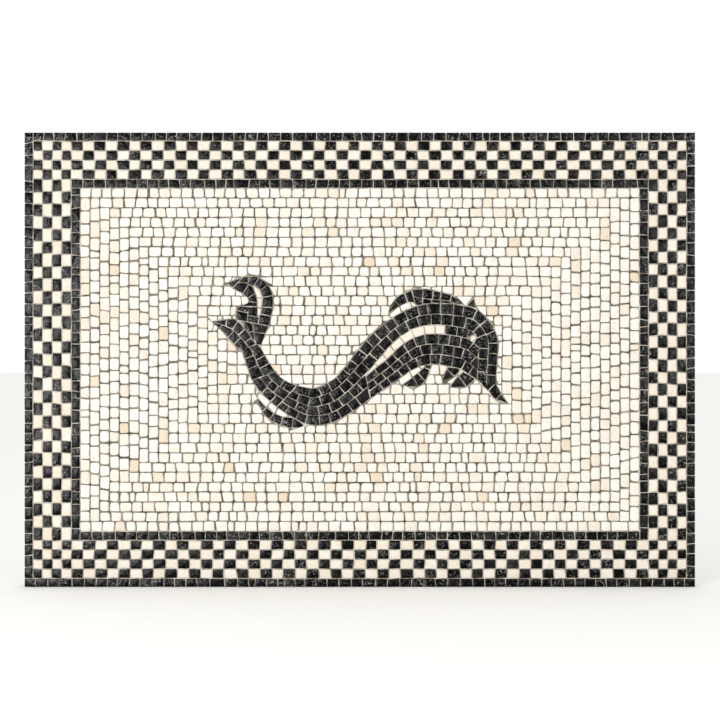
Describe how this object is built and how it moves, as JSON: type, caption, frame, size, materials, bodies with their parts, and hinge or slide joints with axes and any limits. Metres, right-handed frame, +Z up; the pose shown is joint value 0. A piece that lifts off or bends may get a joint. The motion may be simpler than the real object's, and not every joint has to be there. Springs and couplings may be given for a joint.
{
  "type": "mosaic wall panel",
  "caption": "Flat rectangular mosaic panel of small black and white marble stones: a dolphin on a white ground, framed by black courses and a chequered border.",
  "frame": {"origin": "middle of the flat back of the backing board, where it meets the wall", "axes": "+X along the long side, to the right as seen from the front; +Y into the wall, so the stones face -Y; +Z up"},
  "size_m": [0.704, 0.02, 0.477],
  "materials": {
    "black_marble": "split and lightly tumbled black marble, faintly glossy on the riven faces",
    "white_marble": "tumbled cream white marble, matt",
    "mortar": "sandy lime and cement mortar, matt",
    "cement_board": "grey fibre cement board, matt"
  },
  "bodies": {
    "root": {"backing_board": "cement_board", "chequer_course_1": "white_marble", "chequer_course_2": "white_marble", "chequer_course_3": "white_marble", "chequer_course_4": "white_marble", "dolphin_belly_fin": "black_marble", "dolphin_body": "black_marble", "dolphin_crest": "black_marble", "dolphin_curled_fluke": "black_marble", "dolphin_dorsal_fin": "black_marble", "dolphin_eye": "white_marble", "dolphin_flank_stripe": "white_marble", "dolphin_fluke_sliver": "white_marble", "dolphin_jaw_fin": "black_marble", "dolphin_lower_fluke": "black_marble", "dolphin_pectoral_fin": "black_marble", "dolphin_throat_fin": "black_marble", "ground_centre": "white_marble", "ground_course_01": "white_marble", "ground_course_02": "white_marble", "ground_course_03": "white_marble", "ground_course_04": "white_marble", "ground_course_05": "white_marble", "ground_course_06": "white_marble", "ground_course_07": "white_marble", "ground_course_08": "white_marble", "inner_black_course": "black_marble", "mortar_bed": "mortar", "outer_black_course": "black_marble"}
  },
  "joints": []
}
